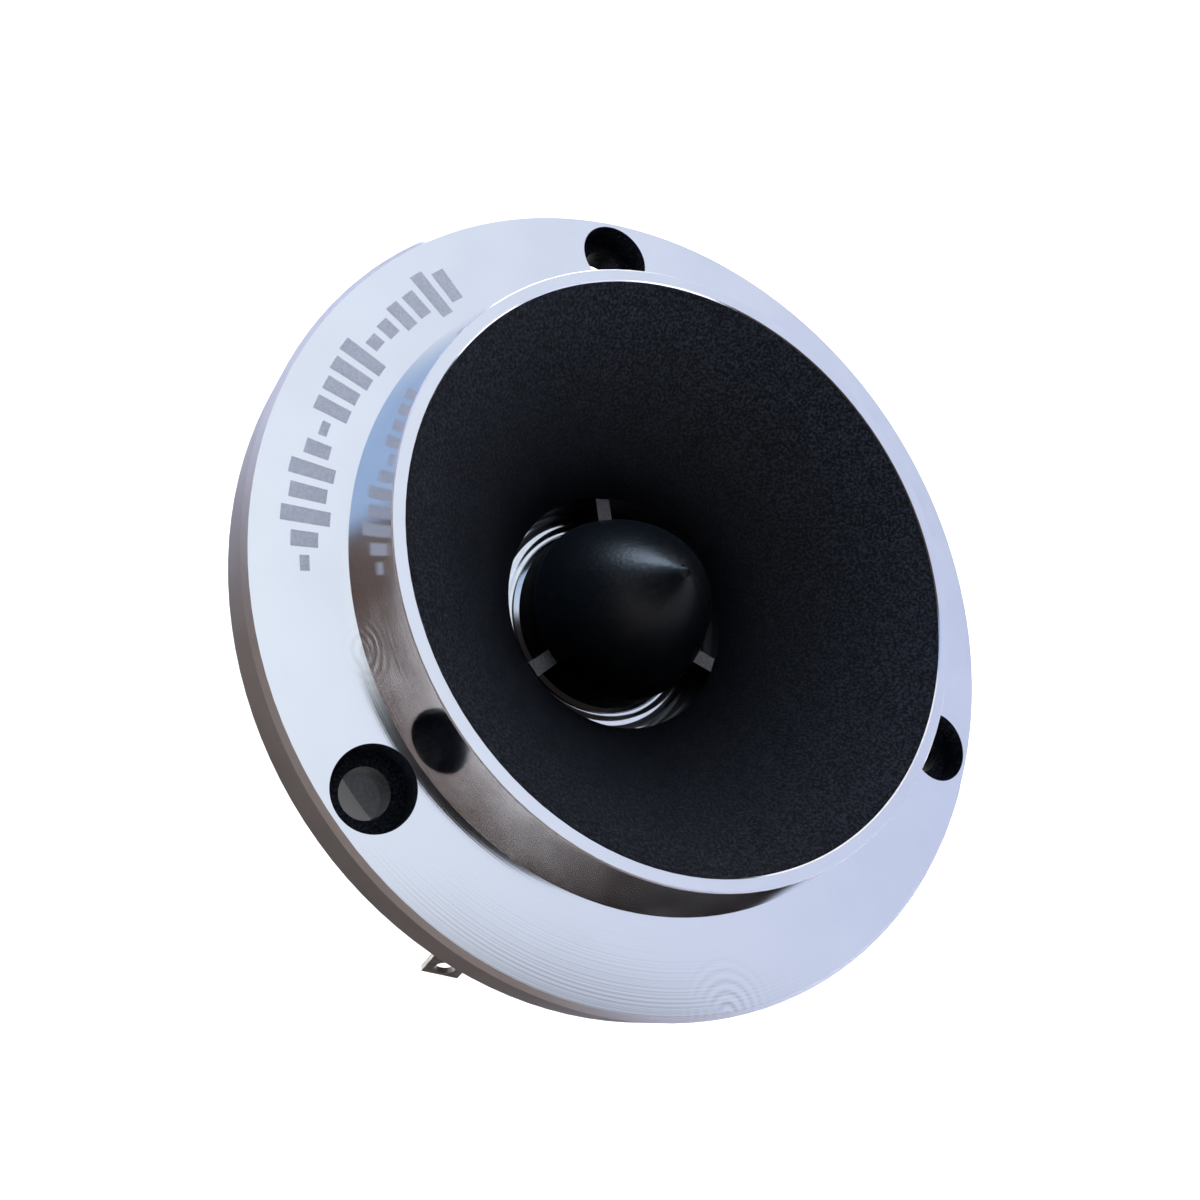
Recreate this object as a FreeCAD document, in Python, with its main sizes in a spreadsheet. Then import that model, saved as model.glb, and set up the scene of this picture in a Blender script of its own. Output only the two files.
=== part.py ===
import FreeCAD, Part
import math
import operator
import os

import Sketcher

# A round car tweeter: a turned aluminium horn flange with a bullet in its throat, and behind it a
# metal dome driven by a ring magnet motor. Millimetres. The origin is the centre of the flange's
# rear mounting face, +Z points out of the horn, and +Y points to the mounting hole at twelve o'clock.

doc = FreeCAD.newDocument("Tweeter")

# ---- Driving sizes -------------------------------------------------------------------------------

SIZES = {
    # horn flange and collar
    "flange_radius": 50.0,
    "flange_thickness": 6.6,
    "edge_chamfer": 0.6,
    "collar_height": 8.3,
    "collar_clearance": 0.75,
    "collar_taper": 1.9,
    "rim_width": 1.6,
    "rim_break": 0.15,
    "horn_depth": 20.2,
    "flare_radius": 63.5,
    "throat_land": 1.7,
    "throat_margin": 0.5,
    "skirt_clearance": 1.6,
    # mounting holes
    "bolt_inset": 5.65,
    "bolt_hole_radius": 2.75,
    "counterbore_radius": 4.5,
    "counterbore_depth": 3.2,
    # bullet and its three-armed spider
    "bullet_inset": 0.55,
    "bullet_height": 16.9,
    "bullet_band": 0.5,
    "bullet_flank_radius": 24.0,
    "nose_radius": 0.8,
    "nose_height": 0.9,
    "boss_height": 2.5,
    "boss_inset": 4.0,
    "boss_play": 0.05,
    "arm_width": 2.0,
    "arm_depth": 2.4,
    "arm_play": 0.2,
    "ring_margin": 0.2,
    "ring_thickness": 2.4,
    "hub_lip": 0.5,
    "phase_gap": 0.7,
    "bullet_screw_radius": 1.5,
    "bullet_screw_length": 8.0,
    "bullet_screw_head_radius": 2.6,
    "bullet_screw_head_height": 1.3,
    # diaphragm
    "gasket_thickness": 1.45,
    "gasket_margin": 0.8,
    "foil": 0.15,
    "dome_height": 2.6,
    "surround_width": 2.45,
    "surround_rise": 0.4,
    "clamp_width": 3.0,
    "frame_width": 9.0,
    "frame_thickness": 1.8,
    "frame_clearance": 0.3,
    "coil_radius": 12.4,
    "former_wall": 0.15,
    "former_length": 7.0,
    "winding_thickness": 0.35,
    "winding_height": 3.2,
    "winding_play": 0.3,
    # motor
    "pole_play": 0.25,
    "cap_wall": 0.25,
    "plate_thickness": 5.0,
    "plate_inset": 2.2,
    "magnet_play": 0.35,
    "magnet_bore_margin": 3.8,
    "magnet_thickness": 12.0,
    "back_plate_thickness": 5.0,
    "pole_bolt_radius": 3.0,
    "pole_bolt_grip": 8.0,
    "pole_bolt_head_radius": 5.0,
    "pole_bolt_head_height": 3.0,
    "pad_thickness": 1.9,
    "pad_inset": 2.9,
    # rear cover
    "cover_wall": 1.2,
    "cover_clearance": 0.4,
    "cover_floor": 1.6,
    "foot_height": 1.2,
    "foot_width": 3.0,
    "cover_taper": 3.0,
    "cover_screw_inset": 9.5,
    "cover_screw_radius": 1.5,
    "cover_screw_grip": 4.0,
    "cover_screw_head_radius": 2.8,
    "cover_screw_head_height": 1.0,
    # screws and pins between motor and horn
    "horn_screw_inset": 3.2,
    "horn_screw_radius": 1.5,
    "horn_screw_grip": 8.0,
    "horn_screw_head_radius": 2.75,
    "horn_screw_head_height": 3.0,
    "hex_socket": 1.25,
    "hex_depth": 1.2,
    "pin_radius": 1.0,
    "pin_margin": 3.7,
    "pin_reach": 3.0,
    # terminal board and its wiring
    "terminal_azimuth": 251.0,
    "board_width": 22.0,
    "board_height": 10.8,
    "board_drop": 1.6,
    "board_thickness": 1.6,
    "board_screw_drop": 5.4,
    "board_screw_radius": 1.25,
    "board_screw_grip": 6.4,
    "board_screw_head_radius": 2.3,
    "board_screw_head_height": 1.5,
    "recess_depth": 3.0,
    "recess_margin": 0.3,
    "recess_drop": 4.0,
    "groove_width": 9.0,
    "groove_depth": 3.0,
    "contact_spacing": 5.0,
    "contact_width": 2.0,
    "contact_thickness": 0.3,
    "contact_drop": 0.7,
    "contact_overhang": 0.8,
    "contact_tail": 5.0,
    "lug_width": 4.8,
    "lug_margin": 0.6,
    "lug_thickness": 0.8,
    "lug_drop": 3.4,
    "lug_foot": 6.0,
    "lug_reach": 14.2,
    "lug_tilt": 25.0,
    "lug_hole_radius": 1.3,
    "lug_hole_margin": 1.7,
    "rivet_radius": 1.2,
    "rivet_head_radius": 1.8,
    "rivet_head_height": 0.6,
    "rivet_tail_radius": 1.6,
    "rivet_tail_height": 0.8,
    "wire_radius": 0.6,
    "wire_overlap": 1.8,
    "wire_clearance": 1.2,
    "lead_width": 1.2,
    "lead_play": 0.5,
}

MOUNTING_HOLES = 3
SPIDER_ARMS = 3
HORN_SCREWS = 3
COVER_SCREWS = 3
LOCATING_PINS = 2

# A pocket that opens through an outer face reaches past it by this factor.
CUT_PAST = 1.2

sheet = doc.addObject("Spreadsheet::Sheet", "Sizes")
for row, (alias, number) in enumerate(SIZES.items(), start=1):
    sheet.set("A%d" % row, alias)
    sheet.set("B%d" % row, str(number))
    sheet.setAlias("B%d" % row, alias)
doc.recompute()


class Size:
    """A size that carries both its number and the sheet expression that gives it."""

    def __init__(self, number, text):
        self.number = number
        self.text = text

    def joined(self, action, sign, other, swapped=False):
        if not isinstance(other, Size):
            other = Size(float(other), repr(float(other)))
        left, right = (other, self) if swapped else (self, other)
        return Size(action(left.number, right.number), "(%s %s %s)" % (left.text, sign, right.text))

    def __add__(self, other):
        return self.joined(operator.add, "+", other)

    def __radd__(self, other):
        return self.joined(operator.add, "+", other, swapped=True)

    def __sub__(self, other):
        return self.joined(operator.sub, "-", other)

    def __rsub__(self, other):
        return self.joined(operator.sub, "-", other, swapped=True)

    def __mul__(self, other):
        return self.joined(operator.mul, "*", other)

    def __rmul__(self, other):
        return self.joined(operator.mul, "*", other, swapped=True)

    def __truediv__(self, other):
        return self.joined(operator.truediv, "/", other)

    def __neg__(self):
        return 0.0 - self


def size(alias):
    return Size(float(sheet.get(alias)), "Sizes." + alias)


def root(value):
    return Size(math.sqrt(value.number), "sqrt(%s)" % value.text)


def sine(angle):
    return Size(math.sin(math.radians(angle.number)), "sin(%s)" % angle.text)


def cosine(angle):
    return Size(math.cos(math.radians(angle.number)), "cos(%s)" % angle.text)


def tangent(angle):
    return Size(math.tan(math.radians(angle.number)), "tan(%s)" % angle.text)


ZERO = Size(0.0, "0")

# ---- Levels along the axis, worked out from the driving sizes -------------------------------------

mouth = size("flange_thickness") + size("collar_height")
throat = mouth - size("horn_depth")
ring_top = throat - size("throat_land")
ring_bottom = ring_top - size("ring_thickness")
clamp_top = ring_bottom - size("gasket_thickness")
frame_top = clamp_top - size("foil")
seat = frame_top - size("frame_thickness")
plate_bottom = seat - size("plate_thickness")
magnet_bottom = plate_bottom - size("magnet_thickness")
back_bottom = magnet_bottom - size("back_plate_thickness")
cover_bottom = back_bottom - size("cover_floor")
foot_bottom = cover_bottom - size("foot_height")

dome_edge = clamp_top + size("surround_rise")
dome_apex = dome_edge + size("dome_height")
hub_bottom = dome_edge + size("phase_gap")
boss_top = throat + size("boss_height")
cap_top = seat + size("cap_wall")
contact_top = frame_top - size("contact_drop")

# ---- Radii that follow from the flange's edge ------------------------------------------------------

bolt_circle_radius = size("flange_radius") - size("bolt_inset")
collar_base_radius = bolt_circle_radius - size("counterbore_radius") - size("collar_clearance")
collar_rim_radius = collar_base_radius - size("collar_taper")
mouth_radius = collar_rim_radius - size("rim_width")
skirt_radius = bolt_circle_radius - size("bolt_hole_radius") - size("skirt_clearance")
plate_radius = skirt_radius - size("plate_inset")
horn_screw_circle = plate_radius - size("horn_screw_inset")
magnet_radius = horn_screw_circle - size("horn_screw_head_radius") - size("magnet_play")
cover_screw_circle = magnet_radius - size("cover_screw_inset")
cover_inner_radius = plate_radius + size("cover_clearance")
cover_radius = cover_inner_radius + size("cover_wall")

# ---- Radii that follow from the voice coil --------------------------------------------------------

dome_radius = size("coil_radius") + size("former_wall")
winding_radius = dome_radius + size("winding_thickness")
gap_radius = winding_radius + size("winding_play")
cap_radius = size("coil_radius") - size("pole_play")
pole_radius = cap_radius - size("cap_wall")
pad_radius = size("coil_radius") - size("pad_inset")
magnet_bore_radius = gap_radius + size("magnet_bore_margin")
bullet_radius = dome_radius - size("bullet_inset")
boss_radius = bullet_radius - size("boss_inset")
surround_radius = dome_radius + size("surround_width")
throat_radius = surround_radius + size("throat_margin")
ring_inner_radius = throat_radius + size("ring_margin")
gasket_inner_radius = surround_radius + size("gasket_margin")
frame_radius = surround_radius + size("frame_width")
pocket_radius = frame_radius + size("frame_clearance")
pin_circle = pocket_radius + size("pin_margin")
contact_inner_radius = surround_radius - size("contact_overhang")
contact_outer_radius = frame_radius + size("contact_tail")

# ---- Terminal board faces, as distances from the axis ---------------------------------------------

board_outer = skirt_radius
board_inner = board_outer - size("board_thickness")
recess_floor = board_inner - size("recess_depth")
lug_outer = board_outer + size("lug_thickness")
board_top = -size("board_drop")
board_bottom = board_top - size("board_height")
lug_spacing = size("board_width") - size("lug_width") - 2 * size("lug_margin")
lug_top = -size("lug_drop")
lug_bend = lug_top - size("lug_foot")
rivet_level = lug_top - size("lug_foot") / 2

nodes = {}


# ---- Modelling steps -----------------------------------------------------------------------------


def new_body(label):
    piece = doc.addObject("PartDesign::Body", label)
    piece.Label = label
    nodes[label] = piece
    return piece


def origin_part(piece, role):
    return next(item for item in piece.Origin.OriginFeatures if item.Role == role)


def new_sketch(piece, name, role, level=ZERO, turn=ZERO, turn_axis=(0, 0, 1)):
    """An empty sketch on one of the body's own planes, lifted by level and turned by turn."""
    sketch = piece.newObject("Sketcher::SketchObject", name)
    sketch.AttachmentSupport = [(origin_part(piece, role), "")]
    sketch.MapMode = "FlatFace"
    spin = FreeCAD.Rotation(FreeCAD.Vector(*turn_axis), turn.number)
    sketch.AttachmentOffset = FreeCAD.Placement(FreeCAD.Vector(0, 0, level.number), spin)
    sketch.setExpression("AttachmentOffset.Base.z", level.text)
    if turn is not ZERO:
        sketch.setExpression("AttachmentOffset.Rotation.Angle", turn.text)
    return sketch


def pin_point(sketch, geometry, end, across, up):
    """Hold one point of a sketch at (across, up) from the sketch's origin."""
    for kind, value, axis in (("DistanceX", across, -2), ("DistanceY", up, -1)):
        if value is ZERO:
            sketch.addConstraint(Sketcher.Constraint("PointOnObject", geometry, end, axis))
        else:
            rule = Sketcher.Constraint(kind, -1, 1, geometry, end, value.number)
            index = sketch.addConstraint(rule)
            sketch.setExpression("Constraints[%d]" % index, value.text)


def bend_arc(start, finish, radius):
    """The arc from start to finish; a positive radius curves to the left of the way travelled."""
    half = (finish - start) * 0.5
    rise = math.sqrt(max(radius * radius - half.Length * half.Length, 0.0))
    left = FreeCAD.Vector(-half.y, half.x, 0).normalize()
    centre = start + half + left * math.copysign(rise, radius)
    circle = Part.Circle(centre, FreeCAD.Vector(0, 0, 1), abs(radius))
    first, last = (start, finish) if radius > 0 else (finish, start)
    return Part.ArcOfCircle(circle, circle.parameter(first), circle.parameter(last))


def draw_outline(sketch, corners):
    """A closed outline. Each corner is (across, up), with a radius where an arc leads on from it."""
    places = [FreeCAD.Vector(corner[0].number, corner[1].number, 0) for corner in corners]
    sides = []
    for index, corner in enumerate(corners):
        start, finish = places[index], places[(index + 1) % len(places)]
        if len(corner) == 3:
            side = sketch.addGeometry(bend_arc(start, finish, corner[2].number))
            ends = (1, 2) if corner[2].number > 0 else (2, 1)
        else:
            side = sketch.addGeometry(Part.LineSegment(start, finish))
            ends = (1, 2)
        sides.append((side, ends))
    for index, (side, ends) in enumerate(sides):
        after, after_ends = sides[(index + 1) % len(sides)]
        sketch.addConstraint(Sketcher.Constraint("Coincident", side, ends[1], after, after_ends[0]))
    for corner, (side, ends) in zip(corners, sides):
        pin_point(sketch, side, ends[0], corner[0], corner[1])
        if len(corner) == 3:
            sign = "" if corner[2].number > 0 else "-"
            rule = Sketcher.Constraint("Radius", side, abs(corner[2].number))
            index = sketch.addConstraint(rule)
            sketch.setExpression("Constraints[%d]" % index, sign + corner[2].text)


def draw_circle(sketch, across, up, radius):
    centre = FreeCAD.Vector(across.number, up.number, 0)
    circle = sketch.addGeometry(Part.Circle(centre, FreeCAD.Vector(0, 0, 1), radius.number))
    pin_point(sketch, circle, 3, across, up)
    index = sketch.addConstraint(Sketcher.Constraint("Radius", circle, radius.number))
    sketch.setExpression("Constraints[%d]" % index, radius.text)


def rectangle(low_across, high_across, low_up, high_up):
    return [(low_across, low_up), (high_across, low_up), (high_across, high_up), (low_across, high_up)]


def turn_about_axis(piece, name, corners):
    """Revolve an outline of (radius, level) corners about the body's Z axis."""
    sketch = new_sketch(piece, name + "_outline", "XZ_Plane")
    draw_outline(sketch, corners)
    solid = piece.newObject("PartDesign::Revolution", name)
    solid.Profile = sketch
    solid.ReferenceAxis = (sketch, ["V_Axis"])
    solid.Angle = 360.0
    sketch.Visibility = False
    doc.recompute()
    return solid


def turned_piece(label, corners):
    piece = new_body(label)
    turn_about_axis(piece, label + "_turned", corners)
    return piece


def sink(piece, name, sketch, depth, upwards=False):
    """Cut a sketch's outline into the body by depth, and check that it removed something."""
    before = piece.Shape.Volume
    cut = piece.newObject("PartDesign::Pocket", name)
    cut.Profile = sketch
    cut.setExpression("Length", depth.text)
    cut.Reversed = upwards
    sketch.Visibility = False
    doc.recompute()
    if piece.Shape.Volume > before - 1e-4:
        raise RuntimeError(name + " removed nothing")
    return cut


def repeat_round(piece, name, features, count):
    """Repeat features evenly about the body's Z axis."""
    pattern = piece.newObject("PartDesign::PolarPattern", name)
    pattern.Originals = features
    pattern.Axis = (origin_part(piece, "Z_Axis"), [""])
    pattern.Angle = 360.0
    pattern.Occurrences = count
    piece.Tip = pattern
    doc.recompute()
    return pattern


def primitive(kind, name, values, place=(ZERO, ZERO, ZERO), tilt=None):
    """A Part primitive with its sizes and its place bound to the sheet."""
    item = doc.addObject("Part::" + kind, name)
    if tilt:
        item.Placement = FreeCAD.Placement(FreeCAD.Vector(), FreeCAD.Rotation(*tilt))
    for key, value in values.items():
        item.setExpression(key, value.text)
    for axis, value in zip("xyz", place):
        item.setExpression("Placement.Base." + axis, value.text)
    return item


ALONG_X = (FreeCAD.Vector(0, 1, 0), 90)


def rod(name, radius, length, place, along_x=False):
    values = {"Radius": radius, "Height": length}
    return primitive("Cylinder", name, values, place, ALONG_X if along_x else None)


def fused(name, items):
    joint = doc.addObject("Part::MultiFuse", name)
    joint.Shapes = items
    return joint


def cut_away(name, base, tool):
    result = doc.addObject("Part::Cut", name)
    result.Base = base
    result.Tool = tool
    return result


def group_node(label, items):
    """One node that holds several separate solids, such as a set of screws."""
    group = doc.addObject("Part::Compound", label)
    group.Label = label
    group.Links = items
    nodes[label] = group
    return group


def face_terminals(item):
    """Turn a piece that was drawn along +X round to the terminal side."""
    item.Placement = FreeCAD.Placement(
        FreeCAD.Vector(), FreeCAD.Rotation(FreeCAD.Vector(0, 0, 1), SIZES["terminal_azimuth"])
    )
    item.setExpression("Placement.Rotation.Angle", size("terminal_azimuth").text)


def round_place(circle, index, count, first_angle):
    angle = math.radians(first_angle + index * 360.0 / count)
    return circle * math.cos(angle), circle * math.sin(angle)


def socket_screw(name, across, along, shank_top, head_top, radius, head_radius, head_height):
    """A socket head screw that points up: its head hangs below head_top, with a hex in its end."""
    shank = rod(name + "_shank", radius, shank_top - head_top, (across, along, head_top))
    head = rod(name + "_head", head_radius, head_height, (across, along, head_top - head_height))
    values = {"Circumradius": size("hex_socket"), "Height": size("hex_depth")}
    socket = primitive("Prism", name + "_hex", values, (across, along, head_top - head_height))
    socket.Polygon = 6
    return cut_away(name, fused(name + "_blank", [shank, head]), socket)


# ---- Front horn: flange, collar, flare and skirt turned from one piece ----------------------------

horn = new_body("front_horn")
turn_about_axis(horn, "horn_turned", [
    (throat_radius, ring_top),
    (throat_radius, throat, -size("flare_radius")),
    (mouth_radius, mouth - size("rim_break")),
    (mouth_radius + size("rim_break"), mouth),
    (collar_rim_radius - size("rim_break"), mouth),
    (collar_rim_radius, mouth - size("rim_break")),
    (collar_base_radius, size("flange_thickness")),
    (size("flange_radius") - size("edge_chamfer"), size("flange_thickness")),
    (size("flange_radius"), size("flange_thickness") - size("edge_chamfer")),
    (size("flange_radius"), ZERO),
    (skirt_radius, ZERO),
    (skirt_radius, seat),
    (pocket_radius, seat),
    (pocket_radius, ring_top),
])

sketch = new_sketch(horn, "counterbore_outline", "XY_Plane", size("flange_thickness"))
draw_circle(sketch, ZERO, bolt_circle_radius, size("counterbore_radius"))
counterbore = sink(horn, "counterbore", sketch, size("counterbore_depth"))
sketch = new_sketch(horn, "bolt_hole_outline", "XY_Plane", size("flange_thickness"))
draw_circle(sketch, ZERO, bolt_circle_radius, size("bolt_hole_radius"))
bolt_hole = sink(horn, "bolt_hole", sketch, size("flange_thickness"))
repeat_round(horn, "mounting_holes", [counterbore, bolt_hole], MOUNTING_HOLES)

sketch = new_sketch(horn, "screw_hole_outline", "XY_Plane", seat)
draw_circle(sketch, ZERO, -horn_screw_circle, size("horn_screw_radius"))
screw_hole = sink(horn, "screw_hole", sketch, size("horn_screw_grip"), upwards=True)
repeat_round(horn, "screw_holes", [screw_hole], HORN_SCREWS)

sketch = new_sketch(horn, "pin_hole_outline", "XY_Plane", seat)
draw_circle(sketch, ZERO, pin_circle, size("pin_radius"))
pin_hole = sink(horn, "pin_hole", sketch, size("pin_reach"), upwards=True)
repeat_round(horn, "pin_holes", [pin_hole], LOCATING_PINS)

# The flat that the terminal board sits on, the pockets behind its rivets and the wires' groove.
sketch = new_sketch(horn, "board_flat_outline", "XY_Plane", seat, size("terminal_azimuth"))
half = size("board_width") / 2
draw_outline(sketch, rectangle(board_inner, board_outer * CUT_PAST, -half * CUT_PAST, half * CUT_PAST))
sink(horn, "board_flat", sketch, board_top - seat, upwards=True)
for side, word in ((1, "left"), (-1, "right")):
    sketch = new_sketch(horn, word + "_recess_outline", "XY_Plane", seat, size("terminal_azimuth"))
    edges = [side * size("groove_width") / 2, side * (size("board_width") / 2 - size("recess_margin"))]
    low, high = sorted(edges, key=lambda edge: edge.number)
    draw_outline(sketch, rectangle(recess_floor, board_outer, low, high))
    sink(horn, word + "_recess", sketch, -size("recess_drop") - seat, upwards=True)
sketch = new_sketch(horn, "wire_groove_outline", "XY_Plane", seat, size("terminal_azimuth"))
half = size("groove_width") / 2
draw_outline(sketch, rectangle(pocket_radius / CUT_PAST, board_outer, -half, half))
sink(horn, "wire_groove", sketch, size("groove_depth"), upwards=True)
screw_depth = board_inner - size("board_screw_grip")
sketch = new_sketch(horn, "board_screw_outline", "YZ_Plane",
                    screw_depth * cosine(size("terminal_azimuth")),
                    size("terminal_azimuth"), (0, 1, 0))
sketch.setExpression("AttachmentOffset.Base.x", (screw_depth * sine(size("terminal_azimuth"))).text)
draw_circle(sketch, ZERO, -size("board_screw_drop"), size("board_screw_radius"))
sink(horn, "board_screw_hole", sketch, size("board_screw_grip"), upwards=True)

# ---- Bullet spider: hub, three arms and the ring that the horn clamps ------------------------------

hollow_height = dome_apex - dome_edge
hollow_half_width = bullet_radius - size("hub_lip")
hollow_radius = (hollow_half_width * hollow_half_width + hollow_height * hollow_height) / (
    2 * hollow_height
)
hollow_top = dome_apex + size("phase_gap")


def hollow_level(radius):
    """Height of the hub's hollow underside at a radius."""
    return hollow_top - hollow_radius + root(hollow_radius * hollow_radius - radius * radius)


screw_shoulder = hollow_level(ZERO) + size("bullet_screw_head_height")

spider = new_body("bullet_spider")
turn_about_axis(spider, "hub_turned", [
    (size("bullet_screw_radius"), screw_shoulder),
    (size("bullet_screw_head_radius"), screw_shoulder),
    (size("bullet_screw_head_radius"), hollow_level(size("bullet_screw_head_radius")),
     -hollow_radius),
    (hollow_half_width, hub_bottom),
    (bullet_radius, hub_bottom),
    (bullet_radius, throat),
    (boss_radius, throat),
    (boss_radius, boss_top),
    (size("bullet_screw_radius"), boss_top),
])
arm_start = bullet_radius - size("hub_lip") / 2
sketch = new_sketch(spider, "arm_outline", "XY_Plane", throat)
half = size("arm_width") / 2
draw_outline(sketch, rectangle(-half, half, arm_start, throat_radius - size("arm_play")))
arm = spider.newObject("PartDesign::Pad", "arm")
arm.Profile = sketch
arm.setExpression("Length", size("arm_depth").text)
arm.Reversed = True
sketch.Visibility = False
doc.recompute()
sketch = new_sketch(spider, "arm_root_outline", "XY_Plane", ring_bottom)
draw_outline(sketch, rectangle(-half, half, arm_start, ring_inner_radius + size("arm_play")))
arm_root = spider.newObject("PartDesign::Pad", "arm_root")
arm_root.Profile = sketch
arm_root.setExpression("Length", size("ring_thickness").text)
sketch.Visibility = False
doc.recompute()
repeat_round(spider, "arms", [arm, arm_root], SPIDER_ARMS)
turn_about_axis(spider, "ring_turned", rectangle(
    ring_inner_radius, frame_radius, ring_bottom, ring_top))

# ---- Bullet: a pointed solid of revolution that sits on the hub's boss -----------------------------

bullet_tip = throat + size("bullet_height")
nose_base = bullet_tip - size("nose_height")
flank_foot = throat + size("bullet_band")
bullet_seat_radius = boss_radius + size("boss_play")
bullet_seat_top = boss_top + size("boss_play")
bullet_screw_top = screw_shoulder + size("bullet_screw_length")

turned_piece("bullet", [
    (bullet_seat_radius, throat),
    (bullet_radius, throat),
    (bullet_radius, flank_foot, size("bullet_flank_radius")),
    (size("nose_radius"), nose_base),
    (ZERO, bullet_tip),
    (ZERO, bullet_screw_top + size("boss_play")),
    (size("bullet_screw_radius"), bullet_screw_top + size("boss_play")),
    (size("bullet_screw_radius"), bullet_seat_top),
    (bullet_seat_radius, bullet_seat_top),
])

group_node("bullet_screw", [
    socket_screw("bullet_screw_solid", ZERO, ZERO, bullet_screw_top, screw_shoulder,
                 size("bullet_screw_radius"), size("bullet_screw_head_radius") - size("boss_play"),
                 size("bullet_screw_head_height")),
])

turned_piece("throat_gasket", rectangle(
    gasket_inner_radius, frame_radius, clamp_top, ring_bottom))

# ---- Diaphragm: dome, surround, voice coil and the frame that carries them -------------------------

dome_ball = (dome_radius * dome_radius + size("dome_height") * size("dome_height")) / (
    2 * size("dome_height")
)
inner_rise = size("dome_height") - size("foil")
inner_ball = (size("coil_radius") * size("coil_radius") + inner_rise * inner_rise) / (2 * inner_rise)
turned_piece("diaphragm_dome", [
    (dome_radius, dome_edge, dome_ball),
    (ZERO, dome_apex),
    (ZERO, dome_apex - size("foil"), -inner_ball),
    (size("coil_radius"), dome_edge),
])

# Steps of the surround from the dome's edge out to the clamped rim, as shares of its width and rise.
SURROUND_STEPS = ((0.0, 1.0), (0.22, 0.93), (0.42, 0.52), (0.66, 0.42), (0.88, 0.05), (1.0, 0.0))
surround_top = [
    (dome_radius + size("surround_width") * across, clamp_top + size("surround_rise") * up)
    for across, up in SURROUND_STEPS
]
surround_top.append((surround_radius + size("clamp_width"), clamp_top))
surround_under = [(radius, level - size("foil")) for radius, level in reversed(surround_top)]
turned_piece("diaphragm_surround", surround_under + surround_top)

turned_piece("voice_coil_former", rectangle(
    size("coil_radius"), dome_radius, dome_edge - size("former_length"), dome_edge))
gap_middle = seat - size("plate_thickness") / 2
turned_piece("voice_coil_winding", rectangle(
    dome_radius, winding_radius,
    gap_middle - size("winding_height") / 2, gap_middle + size("winding_height") / 2))

frame = turned_piece("diaphragm_frame", rectangle(
    surround_radius, frame_radius, seat, frame_top))
for side, word in ((1, "left"), (-1, "right")):
    sketch = new_sketch(frame, word + "_contact_slot_outline", "XY_Plane", contact_top,
                        size("terminal_azimuth"))
    middle = side * size("contact_spacing") / 2
    half = size("contact_width") / 2
    draw_outline(sketch, rectangle(
        contact_inner_radius, frame_radius * CUT_PAST, middle - half, middle + half))
    sink(frame, word + "_contact_slot", sketch, size("contact_thickness"))

# ---- Motor: pole, copper cap, plates, ring magnet --------------------------------------------------

turned_piece("pole_piece", [
    (ZERO, magnet_bottom + size("pole_bolt_grip")),
    (size("pole_bolt_radius"), magnet_bottom + size("pole_bolt_grip")),
    (size("pole_bolt_radius"), magnet_bottom),
    (pole_radius, magnet_bottom),
    (pole_radius, seat),
    (ZERO, seat),
])
turned_piece("pole_cap", [
    (pole_radius, plate_bottom),
    (cap_radius, plate_bottom),
    (cap_radius, cap_top),
    (ZERO, cap_top),
    (ZERO, seat),
    (pole_radius, seat),
])
turned_piece("damping_pad", rectangle(
    ZERO, pad_radius, cap_top, cap_top + size("pad_thickness")))

plate = turned_piece("top_plate", rectangle(gap_radius, plate_radius, plate_bottom, seat))
sketch = new_sketch(plate, "plate_screw_outline", "XY_Plane", seat)
draw_circle(sketch, ZERO, -horn_screw_circle, size("horn_screw_radius"))
screw_hole = sink(plate, "plate_screw_hole", sketch, size("plate_thickness"))
repeat_round(plate, "plate_screw_holes", [screw_hole], HORN_SCREWS)
sketch = new_sketch(plate, "plate_pin_outline", "XY_Plane", seat)
draw_circle(sketch, ZERO, pin_circle, size("pin_radius"))
pin_hole = sink(plate, "plate_pin_hole", sketch, size("pin_reach"))
repeat_round(plate, "plate_pin_holes", [pin_hole], LOCATING_PINS)

turned_piece("magnet", rectangle(
    magnet_bore_radius, magnet_radius, magnet_bottom, plate_bottom))

bolt_shoulder = back_bottom + size("pole_bolt_head_height")
back = turned_piece("back_plate", [
    (size("pole_bolt_radius"), bolt_shoulder),
    (size("pole_bolt_head_radius"), bolt_shoulder),
    (size("pole_bolt_head_radius"), back_bottom),
    (magnet_radius, back_bottom),
    (magnet_radius, magnet_bottom),
    (size("pole_bolt_radius"), magnet_bottom),
])
sketch = new_sketch(back, "back_screw_outline", "XY_Plane", back_bottom)
draw_circle(sketch, ZERO, -cover_screw_circle, size("cover_screw_radius"))
screw_hole = sink(back, "back_screw_hole", sketch, size("cover_screw_grip"), upwards=True)
repeat_round(back, "back_screw_holes", [screw_hole], COVER_SCREWS)

group_node("pole_bolt", [
    socket_screw("pole_bolt_solid", ZERO, ZERO, magnet_bottom + size("pole_bolt_grip"),
                 bolt_shoulder, size("pole_bolt_radius"), size("pole_bolt_head_radius"),
                 size("pole_bolt_head_height")),
])

# ---- Rear cover: a cup over the motor, on a raised foot ring ---------------------------------------

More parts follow.
